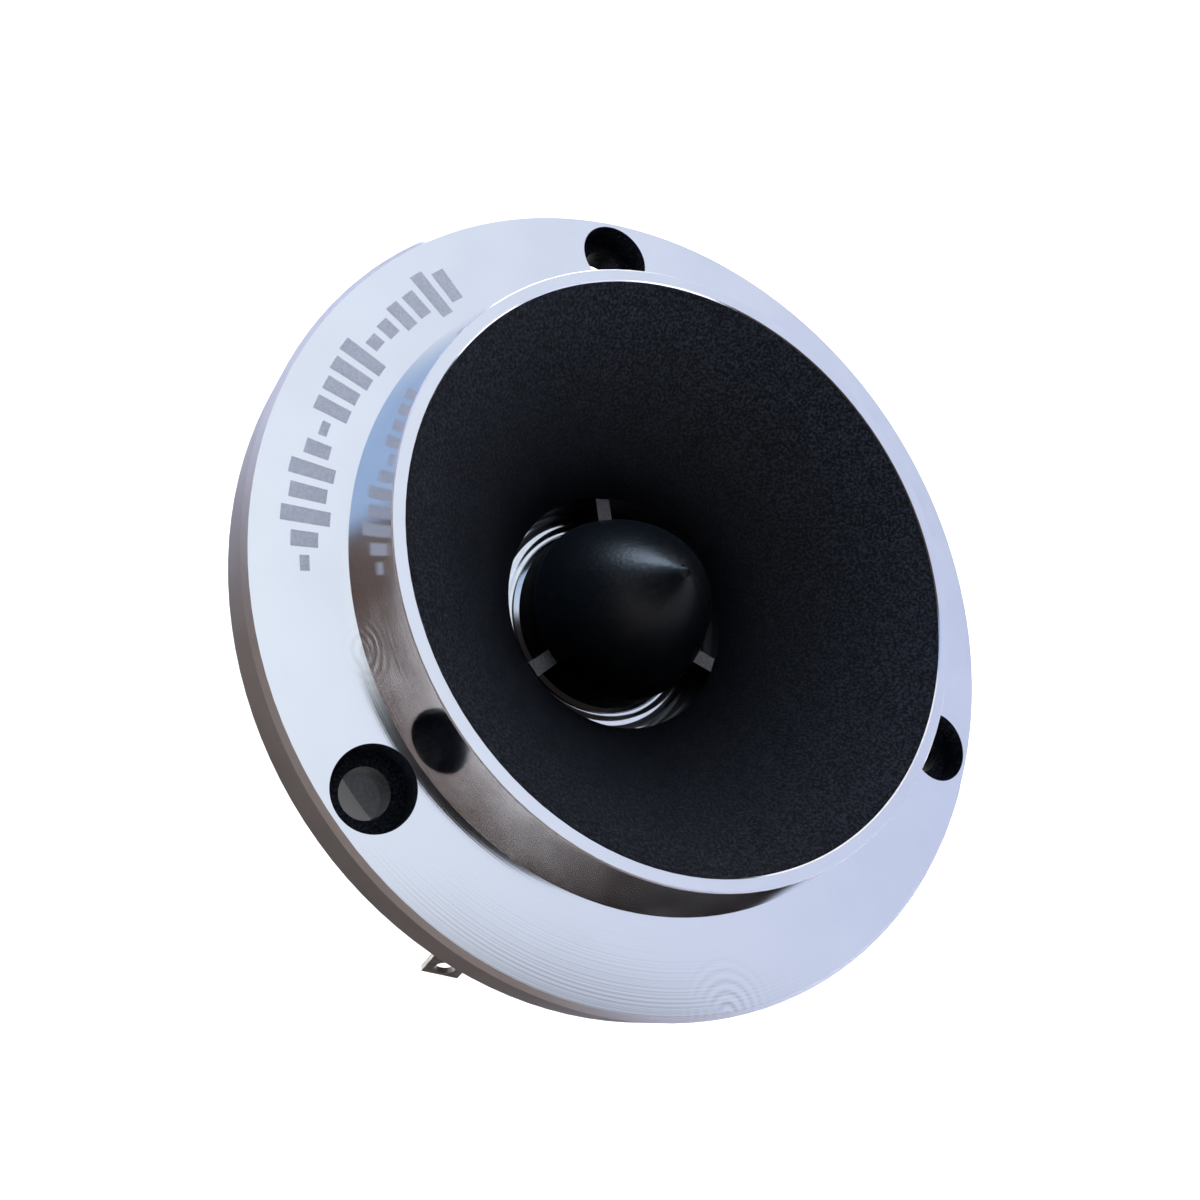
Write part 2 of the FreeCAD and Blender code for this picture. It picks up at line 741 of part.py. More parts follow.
foot_radius = cover_radius - size("cover_taper")
foot_inner_radius = foot_radius - size("foot_width")
cover = turned_piece("rear_cover", [
    (ZERO, back_bottom),
    (ZERO, cover_bottom),
    (foot_inner_radius, cover_bottom),
    (foot_inner_radius, foot_bottom),
    (foot_radius - size("edge_chamfer"), foot_bottom),
    (foot_radius, foot_bottom + size("edge_chamfer")),
    (cover_radius, magnet_bottom),
    (cover_radius, seat - size("cover_clearance")),
    (cover_inner_radius, seat - size("cover_clearance")),
    (cover_inner_radius, magnet_bottom),
    (foot_radius - size("cover_wall"), back_bottom),
])
sketch = new_sketch(cover, "cover_screw_outline", "XY_Plane", back_bottom)
draw_circle(sketch, ZERO, -cover_screw_circle, size("cover_screw_radius"))
screw_hole = sink(cover, "cover_screw_hole", sketch, size("cover_floor"))
repeat_round(cover, "cover_screw_holes", [screw_hole], COVER_SCREWS)

# ---- Screws and pins -------------------------------------------------------------------------------

screws = []
for index in range(HORN_SCREWS):
    across, along = round_place(horn_screw_circle, index, HORN_SCREWS, 270.0)
    screws.append(socket_screw(
        "horn_screw_%d" % index, across, along, seat + size("horn_screw_grip"), plate_bottom,
        size("horn_screw_radius"), size("horn_screw_head_radius"), size("horn_screw_head_height")))
group_node("horn_screws", screws)

screws = []
for index in range(COVER_SCREWS):
    across, along = round_place(cover_screw_circle, index, COVER_SCREWS, 270.0)
    screws.append(socket_screw(
        "cover_screw_%d" % index, across, along, back_bottom + size("cover_screw_grip"),
        cover_bottom, size("cover_screw_radius"), size("cover_screw_head_radius"),
        size("cover_screw_head_height")))
group_node("cover_screws", screws)

pins = []
for index in range(LOCATING_PINS):
    across, along = round_place(pin_circle, index, LOCATING_PINS, 90.0)
    pins.append(rod("locating_pin_%d" % index, size("pin_radius"), size("pin_reach") * 2,
                    (across, along, seat - size("pin_reach"))))
group_node("locating_pins", pins)

# ---- Terminal board, lugs, rivets ------------------------------------------------------------------

blank = primitive("Box", "board_blank", {
    "Length": size("board_thickness"), "Width": size("board_width"), "Height": size("board_height"),
}, (board_inner, -size("board_width") / 2, board_bottom))
tools = [rod("board_screw_way", size("board_screw_radius"), size("board_thickness"),
             (board_inner, ZERO, -size("board_screw_drop")), along_x=True)]
for side, word in ((1, "left"), (-1, "right")):
    tools.append(rod(word + "_rivet_way", size("rivet_radius"), size("board_thickness"),
                     (board_inner, side * lug_spacing / 2, rivet_level), along_x=True))
board = cut_away("terminal_board", blank, fused("board_ways", tools))
board.Label = "terminal_board"
nodes["terminal_board"] = board
face_terminals(board)

lean = sine(size("lug_tilt"))
drop = cosine(size("lug_tilt"))
lug_tip_out = board_outer + size("lug_reach") * lean
lug_tip_level = lug_bend - size("lug_reach") * drop
bend_setback = size("lug_thickness") * tangent(size("lug_tilt") / 2)
for side, label in ((1, "terminal_positive"), (-1, "terminal_negative")):
    lug = new_body(label)
    sketch = new_sketch(lug, label + "_side", "XZ_Plane", -side * lug_spacing / 2)
    draw_outline(sketch, [
        (board_outer, lug_top),
        (board_outer, lug_bend),
        (lug_tip_out, lug_tip_level),
        (lug_tip_out + size("lug_thickness") * drop, lug_tip_level + size("lug_thickness") * lean),
        (lug_outer, lug_bend + bend_setback),
        (lug_outer, lug_top),
    ])
    strip = lug.newObject("PartDesign::Pad", label + "_strip")
    strip.Profile = sketch
    strip.setExpression("Length", size("lug_width").text)
    strip.Midplane = True
    sketch.Visibility = False
    doc.recompute()
    sketch = new_sketch(lug, label + "_rivet_outline", "YZ_Plane", lug_outer)
    draw_circle(sketch, side * lug_spacing / 2, rivet_level, size("rivet_radius"))
    sink(lug, label + "_rivet_hole", sketch, size("lug_thickness"))
    sketch = new_sketch(lug, label + "_wire_outline", "YZ_Plane", ZERO, -size("lug_tilt"), (1, 0, 0))
    along = lug_tip_level * drop - lug_tip_out * lean + size("lug_hole_margin")
    draw_circle(sketch, side * lug_spacing / 2, along, size("lug_hole_radius"))
    sink(lug, label + "_wire_hole", sketch, size("flange_radius"), upwards=True)
    face_terminals(lug)

rivets = []
for side, word in ((1, "left"), (-1, "right")):
    along = side * lug_spacing / 2
    grip = size("board_thickness") + size("lug_thickness")
    tail_start = board_inner - size("rivet_tail_height")
    rivets.append(fused(word + "_rivet", [
        rod(word + "_rivet_shank", size("rivet_radius"), grip,
            (board_inner, along, rivet_level), along_x=True),
        rod(word + "_rivet_head", size("rivet_head_radius"), size("rivet_head_height"),
            (lug_outer, along, rivet_level), along_x=True),
        rod(word + "_rivet_tail", size("rivet_tail_radius"), size("rivet_tail_height"),
            (tail_start, along, rivet_level), along_x=True),
    ]))
face_terminals(group_node("terminal_rivets", rivets))

screw = fused("board_screw_solid", [
    rod("board_screw_shank", size("board_screw_radius"),
        size("board_screw_grip") + size("board_thickness"),
        (board_inner - size("board_screw_grip"), ZERO, -size("board_screw_drop")), along_x=True),
    rod("board_screw_head", size("board_screw_head_radius"), size("board_screw_head_height"),
        (board_outer, ZERO, -size("board_screw_drop")), along_x=True),
])
face_terminals(group_node("terminal_board_screw", [screw]))

# ---- Contacts, voice coil leads and hookup wires ---------------------------------------------------

lead_start = dome_radius
lead_finish = surround_radius - size("lead_play")
lead_span = lead_finish - lead_start
lead_rise = size("contact_drop") / 2
LEAD_STEPS = ((0.0, 1.0), (0.25, 0.9), (0.6, 0.0), (1.0, 0.0))
for side, word in ((1, "positive"), (-1, "negative")):
    middle = side * size("contact_spacing") / 2
    contact = primitive("Box", "contact_" + word, {
        "Length": contact_outer_radius - contact_inner_radius,
        "Width": size("contact_width"),
        "Height": size("contact_thickness"),
    }, (contact_inner_radius, middle - size("contact_width") / 2,
        contact_top - size("contact_thickness")))
    face_terminals(group_node("frame_contact_" + word, [contact]))

    label = "lead_out_" + word
    lead = new_body(label)
    sketch = new_sketch(lead, label + "_side", "XZ_Plane", -middle)
    upper = [
        (lead_start + lead_span * across, contact_top + size("foil") + lead_rise * up)
        for across, up in LEAD_STEPS
    ]
    under = [(out, level - size("foil")) for out, level in reversed(upper)]
    draw_outline(sketch, under + upper)
    ribbon = lead.newObject("PartDesign::Pad", label + "_ribbon")
    ribbon.Profile = sketch
    ribbon.setExpression("Length", size("lead_width").text)
    ribbon.Midplane = True
    sketch.Visibility = False
    face_terminals(lead)
    doc.recompute()


def wire_solid(route, radius):
    """Round wire along straight runs, with a ball at each corner."""
    runs = list(zip(route, route[1:]))
    solid = Part.makeSphere(radius, route[1])
    for corner in route[2:-1]:
        solid = solid.fuse(Part.makeSphere(radius, corner))
    for start, finish in runs:
        run = finish - start
        solid = solid.fuse(Part.makeCylinder(radius, run.Length, start, run))
    return solid.removeSplitter()


for side, word in ((1, "positive"), (-1, "negative")):
    radius = size("wire_radius").number
    near = side * size("contact_spacing").number / 2
    far = side * lug_spacing.number / 2
    low = contact_top.number + radius
    tail = board_inner.number - size("rivet_tail_height").number - radius
    out = contact_outer_radius.number
    route = [
        FreeCAD.Vector(out - size("wire_overlap").number, near, low),
        FreeCAD.Vector(recess_floor.number + size("wire_clearance").number, near, low),
        FreeCAD.Vector(tail, far, low + radius),
        FreeCAD.Vector(tail, far, rivet_level.number),
    ]
    wire = doc.addObject("Part::Feature", "hookup_wire_" + word)
    wire.Label = "hookup_wire_" + word
    wire.Shape = wire_solid(route, radius)
    face_terminals(wire)
    nodes[wire.Label] = wire

doc.recompute()

# ---- Check every object, then write one file for each node ------------------------------------------

for item in doc.Objects:
    if "Invalid" in item.State or "Error" in item.State:
        raise RuntimeError("%s failed: %s" % (item.Name, item.State))
os.makedirs("parts", exist_ok=True)
for label, item in nodes.items():
    if item.Shape.isNull() or not item.Shape.isValid():
        raise RuntimeError(label + " has no valid shape")
for label, item in nodes.items():
    item.Shape.exportStep(os.path.join("parts", label + ".step"))
print("%d nodes written" % len(nodes))
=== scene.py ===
from math import cos, pi, radians, sin

import bpy
import numpy as np
from mathutils import Matrix, Vector


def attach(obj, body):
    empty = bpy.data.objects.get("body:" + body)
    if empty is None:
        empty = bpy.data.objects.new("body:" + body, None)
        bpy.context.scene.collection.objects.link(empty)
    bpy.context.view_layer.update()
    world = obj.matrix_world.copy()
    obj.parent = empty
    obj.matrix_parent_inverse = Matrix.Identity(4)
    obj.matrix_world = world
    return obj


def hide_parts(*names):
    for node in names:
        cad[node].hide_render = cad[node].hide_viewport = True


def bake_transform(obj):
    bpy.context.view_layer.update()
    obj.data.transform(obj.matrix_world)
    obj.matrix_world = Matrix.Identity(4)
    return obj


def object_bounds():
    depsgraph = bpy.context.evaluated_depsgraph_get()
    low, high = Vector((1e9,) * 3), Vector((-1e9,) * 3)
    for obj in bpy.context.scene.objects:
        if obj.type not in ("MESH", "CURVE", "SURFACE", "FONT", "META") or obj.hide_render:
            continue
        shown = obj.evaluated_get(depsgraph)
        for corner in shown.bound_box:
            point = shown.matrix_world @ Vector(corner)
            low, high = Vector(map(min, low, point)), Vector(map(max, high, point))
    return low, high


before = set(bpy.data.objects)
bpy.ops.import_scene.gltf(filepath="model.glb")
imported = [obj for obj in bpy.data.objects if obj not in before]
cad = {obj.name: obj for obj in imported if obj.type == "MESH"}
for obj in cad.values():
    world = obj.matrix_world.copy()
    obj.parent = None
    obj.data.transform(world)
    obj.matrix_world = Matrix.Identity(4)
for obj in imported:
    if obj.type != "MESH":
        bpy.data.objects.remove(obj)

CAD_BOX = [list(corner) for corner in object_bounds()]
MM = 0.001


# ---- Table, backdrop, lamps and camera --------------------------------------------------------------
# The tweeter stands on its rear foot ring on a pale seamless sheet that curves up into a wall.
# A broad cool window lights it from one side, and the other side of the room is warm and dim.

def add_node(tree, kind, inputs=None, **settings):
    """One shader node: its settings, then inputs given as plain values or as other nodes' sockets."""
    made = tree.nodes.new(kind)
    for key, value in settings.items():
        setattr(made, key, value)
    for key, value in (inputs or {}).items():
        if isinstance(value, bpy.types.NodeSocket):
            tree.links.new(value, made.inputs[key])
        else:
            made.inputs[key].default_value = value
    return made


def new_finish(name, **sockets):
    """A material with one Principled shader, whose even values sit on the shader's own sockets."""
    finish = bpy.data.materials.new(name)
    finish.use_nodes = True
    shader = finish.node_tree.nodes["Principled BSDF"]
    for key, value in sockets.items():
        shader.inputs[key.replace("_", " ")].default_value = value
    return finish, finish.node_tree, shader


def speckle(tree, size, detail=3.0, stretch=(1.0, 1.0, 1.0)):
    """Noise over the piece's own coordinates, in grains about as wide as size, in metres."""
    place = add_node(tree, "ShaderNodeTexCoord")
    scaled = add_node(tree, "ShaderNodeMapping", {"Vector": place.outputs["Object"], "Scale": stretch})
    grains = add_node(tree, "ShaderNodeTexNoise",
                      {"Vector": scaled.outputs["Vector"], "Scale": 1.0 / size, "Detail": detail})
    return grains.outputs["Fac"]


def spread(tree, value, low, high, from_low=0.3, from_high=0.7, curve="LINEAR"):
    """A number that goes from low to high as value goes from from_low to from_high."""
    return add_node(tree, "ShaderNodeMapRange",
                    {"Value": value, "From Min": from_low, "From Max": from_high,
                     "To Min": low, "To Max": high}, interpolation_type=curve).outputs["Result"]


def tint(tree, amount, first, second):
    """A colour between first and second, each a plain colour or another node's socket."""
    mixed = add_node(tree, "ShaderNodeMix", {"Factor": amount}, data_type="RGBA")
    ends = [socket for socket in mixed.inputs if socket.type == "RGBA"]
    for socket, colour in zip(ends, (first, second)):
        if isinstance(colour, bpy.types.NodeSocket):
            tree.links.new(colour, socket)
        else:
            socket.default_value = (*colour, 1.0)
    return next(socket for socket in mixed.outputs if socket.type == "RGBA")


def mottled(tree, grains, dark, light):
    """Grains shown as a colour that runs from dark to light over the middle of their range."""
    return tint(tree, spread(tree, grains, 0.0, 1.0), dark, light)


def bumps(tree, shader, height, depth):
    """The shader's surface is raised by up to depth, in metres, where height is 1."""
    raised = add_node(tree, "ShaderNodeBump", {"Height": height, "Distance": depth, "Strength": 1.0})
    tree.links.new(raised.outputs["Normal"], shader.inputs["Normal"])


def grid_mesh(name, points, close_u=False, close_v=False, flip=False):
    """A smooth quad surface over a (rows, columns, 3) array of points, joined end to end where asked."""
    rows, columns = points.shape[:2]
    index = np.arange(rows * columns).reshape(rows, columns)
    if close_u:
        index = np.vstack([index, index[:1]])
    if close_v:
        index = np.hstack([index, index[:, :1]])
    corners = [index[:-1, :-1], index[1:, :-1], index[1:, 1:], index[:-1, 1:]]
    quads = np.stack(corners[::-1] if flip else corners, axis=-1).reshape(-1, 4)
    mesh = bpy.data.meshes.new(name)
    mesh.from_pydata(points.reshape(-1, 3).tolist(), [], quads.tolist())
    mesh.shade_smooth()
    piece = bpy.data.objects.new(name, mesh)
    bpy.context.scene.collection.objects.link(piece)
    return piece


def turned(name, radii, heights, steps=180, closed=False):
    """A profile of (radius, height) points carried round the Z axis: x = radius cos, y = radius sin.

    closed joins the profile's last point to its first.
    """
    angle = np.linspace(0.0, 2.0 * pi, steps, endpoint=False)[:, None]
    radii, heights = np.asarray(radii)[None, :], np.asarray(heights)[None, :]
    points = np.stack([radii * np.cos(angle), radii * np.sin(angle),
                       np.broadcast_to(heights, (steps, heights.shape[1]))], axis=-1)
    return grid_mesh(name, points, close_u=True, close_v=closed)


floor_level = CAD_BOX[0][2]
sheet_reach, wall_reach, wall_height = 1.2, 2.2, 1.7
bow = np.linspace(0.0, pi / 2.0, 24)
sheet = turned("backdrop_sheet",
               [0.0005, *(sheet_reach + (wall_reach - sheet_reach) * np.sin(bow))],
               [floor_level, *(floor_level + wall_height * (1.0 - np.cos(bow)))], steps=96)
paper, tree, shader = new_finish("backdrop_paper", Roughness=0.9)
tree.links.new(mottled(tree, speckle(tree, 0.004),
                    (0.93, 0.935, 0.945), (0.95, 0.95, 0.955)), shader.inputs["Base Color"])
sheet.data.materials.append(paper)

world = bpy.data.worlds.new("room_light")
world.use_nodes = True
bpy.context.scene.world = world
tree = world.node_tree
direction = add_node(tree, "ShaderNodeTexCoord").outputs["Generated"]


def facing(tree, direction, towards):
    """How far a direction points towards a side of the room: the dot product of the two."""
    return add_node(tree, "ShaderNodeVectorMath", {0: direction, 1: towards},
                    operation="DOT_PRODUCT").outputs["Value"]


eastward = facing(tree, direction, (1.0, 0.0, 0.0))
glow = tint(tree, spread(tree, eastward, 0.0, 1.0, 0.15, 0.75), (0.84, 0.91, 1.0), (0.56, 0.62, 0.84))
window = tint(tree, spread(tree, facing(tree, direction, (-0.6, 1.0, 0.0)), 0.0, 1.0, 0.35, 0.75),
              glow, (0.34, 0.48, 0.74))
dim_side = tint(tree, spread(tree, eastward, 0.0, 1.0, -0.5, 0.3),
                (0.20, 0.135, 0.115), (0.024, 0.020, 0.020))
dim_side = tint(tree, spread(tree, facing(tree, direction, (0.0, 0.0, 1.0)), 0.0, 1.0, 0.45, 0.85),
                dim_side, (0.012, 0.010, 0.010))
lit_half = spread(tree, facing(tree, direction, (0.45, 0.88, 0.0)), 0.0, 1.0, 0.07, 0.2, "SMOOTHSTEP")
room = tint(tree, lit_half, dim_side, window)
tree.links.new(room, tree.nodes["Background"].inputs["Color"])

# A brown card beside the table, seen only in the metal's reflections, that pales towards its ends.
card_angle = np.linspace(radians(95.0), radians(345.0), 75)[:, None]
card_reach = np.array([52.0, 150.0, 450.0, 700.0])[None, :] * MM
card_rise = np.array([0.3, 0.3, 60.0, 420.0])[None, :] * MM
card = grid_mesh("dim_side_card", np.stack([
    card_reach * np.cos(card_angle), card_reach * np.sin(card_angle),
    np.broadcast_to(floor_level + card_rise, (card_angle.size, card_rise.size))], axis=-1))
brown_card, tree, shader = new_finish("brown_card", Roughness=0.9)
place = add_node(tree, "ShaderNodeTexCoord").outputs["Object"]
outward = add_node(tree, "ShaderNodeVectorMath", {0: place}, operation="NORMALIZE").outputs[0]
side = spread(tree, facing(tree, outward, (-0.80, -0.60, 0.0)), 0.0, 1.0, -0.2, 0.75, "SMOOTHSTEP")
brown = tint(tree, speckle(tree, 8.0 * MM), (0.14, 0.11, 0.095), (0.20, 0.16, 0.14))
tree.links.new(tint(tree, side, (0.70, 0.72, 0.88), brown), shader.inputs["Base Color"])
card.data.materials.append(brown_card)
card.visible_camera = card.visible_diffuse = card.visible_shadow = False


def hang_lamp(name, energy, angle, towards):
    """A broad distant lamp that shines from the given side and isn't seen in reflections."""
    light = bpy.data.lights.new(name, "SUN")
    light.energy, light.angle = energy, radians(angle)
    stand = bpy.data.objects.new(name, light)
    stand.rotation_euler = Vector(towards).to_track_quat("Z", "Y").to_euler()
    stand.visible_glossy = False
    bpy.context.scene.collection.objects.link(stand)
    return stand


hang_lamp("window_lamp", 2.0, 30.0, (0.28, 0.72, 0.62))
table_lamp = hang_lamp("table_lamp", 4.4, 60.0, (0.2, 0.3, 0.9))
lit_table = bpy.data.collections.new("lit_table")
lit_table.objects.link(sheet)
table_lamp.light_linking.receiver_collection = lit_table
table_lamp.light_linking.blocker_collection = lit_table

CAMERA_PLACE = Vector((-75.589, -36.932, 117.997)) * MM
CAMERA_AIM = Vector((0.492454, 0.257831, -0.831271))
CAMERA_UP = Vector((-0.008232, 0.956450, 0.291780))
lens = bpy.data.cameras.new("camera")
lens.lens = 34.71
lens.sensor_width = 36.0
lens.clip_start = 0.005
camera = bpy.data.objects.new("camera", lens)
camera.matrix_world = Matrix.Translation(CAMERA_PLACE) @ Matrix(
    (CAMERA_AIM.cross(CAMERA_UP), CAMERA_UP, -CAMERA_AIM)).transposed().to_4x4()
bpy.context.scene.collection.objects.link(camera)
bpy.context.scene.camera = camera
bpy.context.scene.view_settings.view_transform = "Standard"


# ---- Front horn ---------------------------------------------------------------------------------
# The flange, collar and flare are turned from one aluminium billet and left bright, with fine lathe
# grooves and a few arcs of tool chatter. The flare is sprayed with a matt black textured coat, and so
# are the bolt holes and all that is behind the flange. On the flare the coat is painted darker towards
# the throat, as painted shade.

mouth_radius, throat_level, back_level = 35.6 * MM, -6.99 * MM, -0.05 * MM
hole_count, hole_circle, hole_radius = 3, 44.35 * MM, 4.53 * MM
groove_width, groove_depth = 0.22 * MM, 0.0030 * MM
grain_width, grain_depth, coat_roughness = 0.34 * MM, 0.05 * MM, 0.5
# The last two radii set where the coat is darkened towards the throat as painted shade.
smear_width, painted_shade_from, painted_shade_to = 9.0 * MM, 15.0 * MM, 33.0 * MM
chatter_strength = 1.6
# Each patch of chatter: its centre, how far it reaches and the pitch of its arcs, in millimetres.
CHATTER_SPOTS = (((-1.0, -49.5, 6.6), 8.0, 1.15), ((-37.5, -8.0, 6.6), 5.0, 1.0))


def maths(tree, operation, *values):
    """The result of one Math node, whose values are numbers or other nodes' sockets."""
    return add_node(tree, "ShaderNodeMath", dict(enumerate(values)), operation=operation).outputs[0]


horn_finish, tree, shader = new_finish("turned_aluminium", Metallic=1.0, Specular_IOR_Level=0.14)
place = add_node(tree, "ShaderNodeTexCoord").outputs["Object"]
parts = add_node(tree, "ShaderNodeSeparateXYZ", {0: place})
flat = add_node(tree, "ShaderNodeCombineXYZ", {0: parts.outputs["X"], 1: parts.outputs["Y"]})
radius = add_node(tree, "ShaderNodeVectorMath", {0: flat.outputs[0]}, operation="LENGTH").outputs["Value"]
profile = add_node(tree, "ShaderNodeCombineXYZ", {0: radius, 1: parts.outputs["Z"]}).outputs[0]
height = parts.outputs["Z"]
grooves = add_node(tree, "ShaderNodeTexNoise",
                   {"Vector": profile, "Scale": 1.0 / groove_width, "Detail": 2.0},
                   noise_dimensions="2D").outputs["Fac"]
coated = maths(tree, "MULTIPLY", maths(tree, "LESS_THAN", radius, mouth_radius),
               maths(tree, "GREATER_THAN", height, throat_level))
coated = maths(tree, "MAXIMUM", coated, maths(tree, "LESS_THAN", height, back_level))
for turn in range(hole_count):
    centre = radians(90.0 + 360.0 * turn / hole_count)
    hole_place = (hole_circle * cos(centre), hole_circle * sin(centre), 0.0)
    from_hole = add_node(tree, "ShaderNodeVectorMath", {0: flat.outputs[0], 1: hole_place},
                         operation="DISTANCE").outputs["Value"]
    coated = maths(tree, "MAXIMUM", coated, maths(tree, "LESS_THAN", from_hole, hole_radius))

chatter = 0.5
for spot, reach, pitch in CHATTER_SPOTS:
    moved = add_node(tree, "ShaderNodeVectorMath", {0: place, 1: tuple(x * MM for x in spot)},
                     operation="DISTANCE").outputs["Value"]
    swing = maths(tree, "SINE", maths(tree, "MULTIPLY", moved, 2.0 * pi / (pitch * MM)))
    fade = spread(tree, moved, 0.5, 0.0, 0.35 * reach * MM, reach * MM, "SMOOTHSTEP")
    chatter = maths(tree, "MULTIPLY_ADD", swing, fade, chatter)

grain = speckle(tree, grain_width, 4.0)
smears = speckle(tree, smear_width, 3.0)
metal = mottled(tree, smears, (0.88, 0.885, 0.90), (0.93, 0.935, 0.945))
# Painted shade: the coat's pale specks fade out towards the throat, so the deep flare reads darker.
painted_throat_shade = spread(tree, radius, 0.15, 1.0, painted_shade_from, painted_shade_to)
specks_with_painted_shade = maths(tree, "MULTIPLY", spread(tree, grain, 0.0, 1.0, 0.42, 0.72), painted_throat_shade)
coat = tint(tree, specks_with_painted_shade, (0.0016, 0.0020, 0.0032), (0.021, 0.027, 0.042))
tree.links.new(tint(tree, coated, metal, coat), shader.inputs["Base Color"])
tree.links.new(maths(tree, "SUBTRACT", 1.0, coated), shader.inputs["Metallic"])
polish = maths(tree, "MULTIPLY_ADD", coated, coat_roughness, spread(tree, smears, 0.08, 0.14))
tree.links.new(polish, shader.inputs["Roughness"])
tooling = maths(tree, "MULTIPLY_ADD", chatter, chatter_strength, grooves)
turned_bump = add_node(tree, "ShaderNodeBump", {"Height": tooling, "Distance": groove_depth})
coat_depth = maths(tree, "MULTIPLY", coated, grain_depth)
coat_bump = add_node(tree, "ShaderNodeBump", {"Height": grain, "Distance": coat_depth,
                                              "Normal": turned_bump.outputs["Normal"]})
tree.links.new(coat_bump.outputs["Normal"], shader.inputs["Normal"])
cad["front_horn"].material_slots[0].material = horn_finish


# ---- Etched sound bars ----------------------------------------------------------------------------
# A row of bars like a sound meter, etched into the upper left of the flange to a matt grey.
# Each bar is a narrow sector of the flange's face, and the bars' heights rise and fall in waves.

bar_first, bar_last, bar_count = radians(122.0), radians(180.0), 17
bar_middle, bar_tallest, bar_cover = 43.7 * MM, 6.2 * MM, 0.66
bar_level, bar_depth = 6.6 * MM, 0.025 * MM

bar = np.arange(bar_count)
bar_pitch = (bar_last - bar_first) / bar_count
bar_height = bar_tallest * (0.56 + 0.26 * np.sin(1.05 * bar + 0.4) + 0.18 * np.sin(2.3 * bar))
along = np.linspace(-0.5, 0.5, 7)
upward = np.linspace(-0.5, 0.5, 5)
bar_angle = bar_first + bar_pitch * (bar + 0.5)
angle = bar_angle[:, None, None] + bar_pitch * bar_cover * along[None, :, None]
reach = bar_middle + bar_height[:, None, None] * upward[None, None, :]
reach, angle = np.broadcast_arrays(reach, angle)
corners = np.stack([reach * np.cos(angle), reach * np.sin(angle), np.full(reach.shape, bar_level)],
                   axis=-1)
block = np.arange(along.size * upward.size).reshape(along.size, upward.size)
tile = np.stack([block[:-1, :-1], block[:-1, 1:], block[1:, 1:], block[1:, :-1]], axis=-1)
tile = tile.reshape(1, -1, 4)
tiles = tile + (bar * block.size)[:, None, None]
bars_mesh = bpy.data.meshes.new("etched_bars")
bars_mesh.from_pydata(corners.reshape(-1, 3).tolist(), [], tiles.reshape(-1, 4).tolist())
etched_bars = bpy.data.objects.new("etched_bars", bars_mesh)
bpy.context.scene.collection.objects.link(etched_bars)
wall = etched_bars.modifiers.new("depth", "SOLIDIFY")
wall.thickness, wall.offset = bar_depth, 1.0
etched, tree, shader = new_finish("etched_grey", Metallic=0.8, Roughness=0.55)
tree.links.new(mottled(tree, speckle(tree, 0.25 * MM), (0.54, 0.56, 0.63), (0.68, 0.70, 0.77)),
               shader.inputs["Base Color"])
bumps(tree, shader, speckle(tree, 0.12 * MM), 0.004 * MM)
bars_mesh.materials.append(etched)
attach(etched_bars, "root")


# ---- Bullet -----------------------------------------------------------------------------------
# The pointed phase plug in the throat, cast and sprayed satin black with a fine leathery skin. A cool
# lamp of its own draws the soft streak that runs up to its tip.

bullet_finish, tree, shader = new_finish("satin_black", Roughness=0.34, Specular_IOR_Level=0.2)
skin = speckle(tree, 0.55 * MM, 3.0)
tree.links.new(mottled(tree, skin, (0.0008, 0.0011, 0.0016), (0.0026, 0.0034, 0.0048)),
               shader.inputs["Base Color"])
bumps(tree, shader, skin, 0.03 * MM)
cad["bullet"].material_slots[0].material = bullet_finish

bullet_lamp = hang_lamp("bullet_lamp", 4.5, 24.0, (-0.30, 0.86, 0.42))
bullet_lamp.data.color = (0.62, 0.80, 1.0)
bullet_lamp.visible_glossy = True
lit_bullet = bpy.data.collections.new("lit_bullet")
lit_bullet.objects.link(cad["bullet"])
bullet_lamp.light_linking.receiver_collection = lit_bullet
bullet_lamp.light_linking.blocker_collection = lit_bullet


# ---- Bullet spider and gasket -----------------------------------------------------------------------
# Three arms hold the bullet's hub in the throat. It is moulded in black glass-filled nylon; its top
# faces, where they look out of the throat, get a painted highlight of light grey while the sides stay
# black. A black foam gasket seals it to the diaphragm.

lit_top_level, lit_top_edge = -5.32 * MM, 0.03 * MM

nylon, tree, shader = new_finish("nylon_painted_lit_top", Roughness=0.5, Specular_IOR_Level=0.15)
fleck = speckle(tree, 0.35 * MM, 4.0, (1.0, 1.0, 0.4))
place = add_node(tree, "ShaderNodeTexCoord").outputs["Object"]
height = add_node(tree, "ShaderNodeSeparateXYZ", {0: place}).outputs["Z"]
# Painted highlight: the top faces get a lighter flecked grey and the sides stay black, as if light fell
# only on the tops.
lit_top_flecks = mottled(tree, fleck, (0.085, 0.083, 0.086), (0.145, 0.14, 0.145))
painted_lit_top = spread(tree, height, 0.0, 1.0, lit_top_level - lit_top_edge, lit_top_level)
tree.links.new(tint(tree, painted_lit_top, (0.006, 0.006, 0.007), lit_top_flecks), shader.inputs["Base Color"])
bumps(tree, shader, fleck, 0.02 * MM)
cad["bullet_spider"].material_slots[0].material = nylon

foam, tree, shader = new_finish("gasket_foam", Roughness=0.95)
cells = speckle(tree, 0.2 * MM, 2.0)
tree.links.new(tint(tree, cells, (0.008, 0.008, 0.009), (0.03, 0.03, 0.032)), shader.inputs["Base Color"])
bumps(tree, shader, cells, 0.06 * MM)
cad["throat_gasket"].material_slots[0].material = foam


# ---- Diaphragm ------------------------------------------------------------------------------------
# A dome of bright aluminium foil on a thin former with a copper coil wound round its foot. The
# surround is the same foil pressed into two soft steps, glued down outside and free to flex inside.

dome_radius, surround_radius, clamp_radius = 12.55 * MM, 15.0 * MM, 18.0 * MM
dome_edge, clamp_level, foil = -10.45 * MM, -10.85 * MM, 0.15 * MM
step_softness = 0.9

